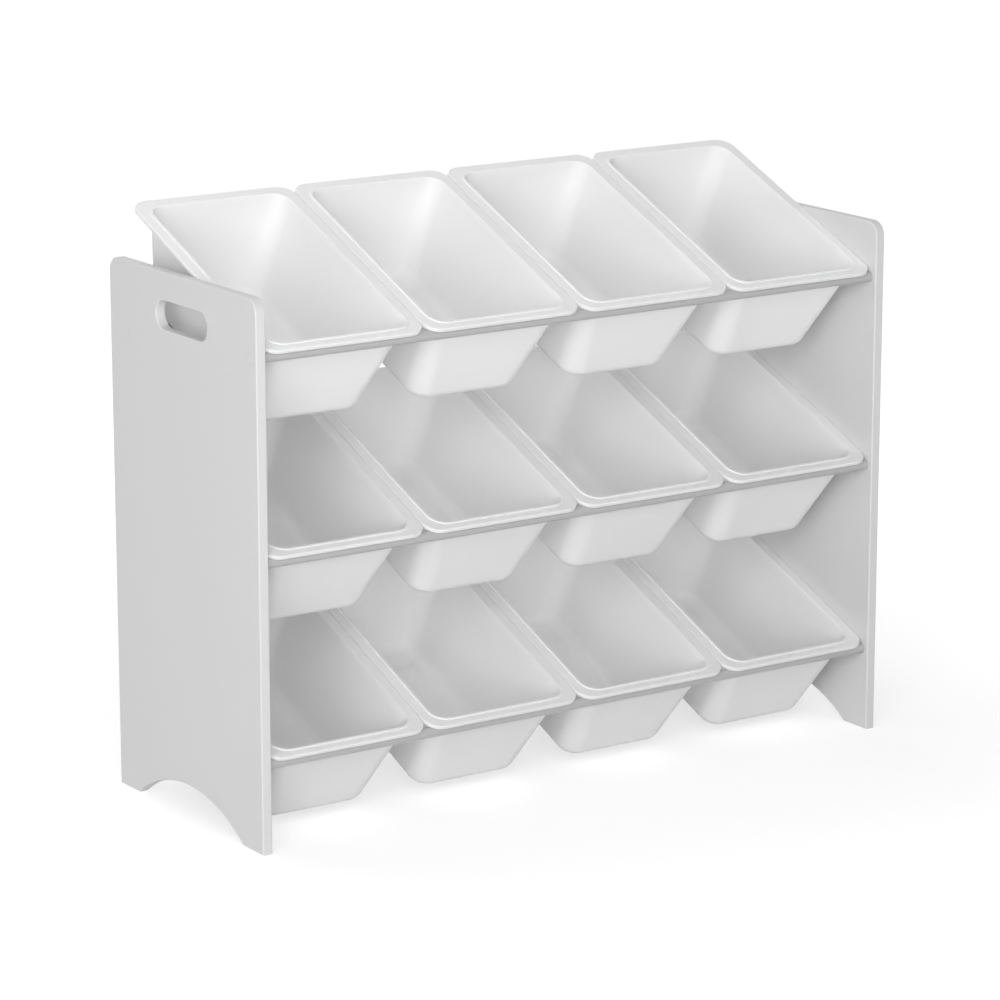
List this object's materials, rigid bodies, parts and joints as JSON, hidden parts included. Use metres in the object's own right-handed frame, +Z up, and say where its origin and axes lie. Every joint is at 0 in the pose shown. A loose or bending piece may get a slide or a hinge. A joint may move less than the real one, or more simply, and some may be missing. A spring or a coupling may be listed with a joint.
{
  "type": "toy storage organizer",
  "caption": "Low toy organizer: two white side panels with handle holes joined by rods, carrying rows of tilted, lift-out plastic bins.",
  "frame": {"origin": "on the floor, under the middle of the panels' footprint", "axes": "+X to the right along the rods, +Y to the back, +Z up; the bins open to the front, -Y"},
  "size_m": [0.845, 0.315, 0.671],
  "materials": {
    "panel_paint": "satin white paint on fibreboard",
    "rod_enamel": "gloss white enamel",
    "bin_plastic": "smooth white moulded polypropylene",
    "cover_plastic": "satin white",
    "insert_brass": "turned",
    "zinc_steel": "zinc plated"
  },
  "bodies": {
    "frame": {"left_side_panel": "panel_paint", "right_side_panel": "panel_paint", "front_rod_bottom": "rod_enamel", "front_rod_middle": "rod_enamel", "front_rod_top": "rod_enamel", "rear_rod_bottom": "rod_enamel", "rear_rod_middle": "rod_enamel", "rear_rod_top": "rod_enamel", "left_threaded_inserts": "insert_brass", "left_assembly_screws": "zinc_steel", "left_screw_covers": "cover_plastic", "right_threaded_inserts": "insert_brass", "right_assembly_screws": "zinc_steel", "right_screw_covers": "cover_plastic"},
    "bin_bottom_1": {"bin_bottom_1": "bin_plastic"},
    "bin_bottom_2": {"bin_bottom_2": "bin_plastic"},
    "bin_bottom_3": {"bin_bottom_3": "bin_plastic"},
    "bin_bottom_4": {"bin_bottom_4": "bin_plastic"},
    "bin_middle_1": {"bin_middle_1": "bin_plastic"},
    "bin_middle_2": {"bin_middle_2": "bin_plastic"},
    "bin_middle_3": {"bin_middle_3": "bin_plastic"},
    "bin_middle_4": {"bin_middle_4": "bin_plastic"},
    "bin_top_1": {"bin_top_1": "bin_plastic"},
    "bin_top_2": {"bin_top_2": "bin_plastic"},
    "bin_top_3": {"bin_top_3": "bin_plastic"},
    "bin_top_4": {"bin_top_4": "bin_plastic"}
  },
  "joints": [
    {"name": "lift_bin_bottom_1", "type": "slide", "parent": "frame", "child": "bin_bottom_1", "axis": [0, -0.5519, 0.8339], "range_m": [0, 0.075]},
    {"name": "lift_bin_bottom_2", "type": "slide", "parent": "frame", "child": "bin_bottom_2", "axis": [0, -0.5519, 0.8339], "range_m": [0, 0.075]},
    {"name": "lift_bin_bottom_3", "type": "slide", "parent": "frame", "child": "bin_bottom_3", "axis": [0, -0.5519, 0.8339], "range_m": [0, 0.075]},
    {"name": "lift_bin_bottom_4", "type": "slide", "parent": "frame", "child": "bin_bottom_4", "axis": [0, -0.5519, 0.8339], "range_m": [0, 0.075]},
    {"name": "lift_bin_middle_1", "type": "slide", "parent": "frame", "child": "bin_middle_1", "axis": [0, -0.5519, 0.8339], "range_m": [0, 0.075]},
    {"name": "lift_bin_middle_2", "type": "slide", "parent": "frame", "child": "bin_middle_2", "axis": [0, -0.5519, 0.8339], "range_m": [0, 0.075]},
    {"name": "lift_bin_middle_3", "type": "slide", "parent": "frame", "child": "bin_middle_3", "axis": [0, -0.5519, 0.8339], "range_m": [0, 0.075]},
    {"name": "lift_bin_middle_4", "type": "slide", "parent": "frame", "child": "bin_middle_4", "axis": [0, -0.5519, 0.8339], "range_m": [0, 0.075]},
    {"name": "lift_bin_top_1", "type": "slide", "parent": "frame", "child": "bin_top_1", "axis": [0, -0.5519, 0.8339], "range_m": [0, 0.22]},
    {"name": "lift_bin_top_2", "type": "slide", "parent": "frame", "child": "bin_top_2", "axis": [0, -0.5519, 0.8339], "range_m": [0, 0.22]},
    {"name": "lift_bin_top_3", "type": "slide", "parent": "frame", "child": "bin_top_3", "axis": [0, -0.5519, 0.8339], "range_m": [0, 0.22]},
    {"name": "lift_bin_top_4", "type": "slide", "parent": "frame", "child": "bin_top_4", "axis": [0, -0.5519, 0.8339], "range_m": [0, 0.22]}
  ]
}
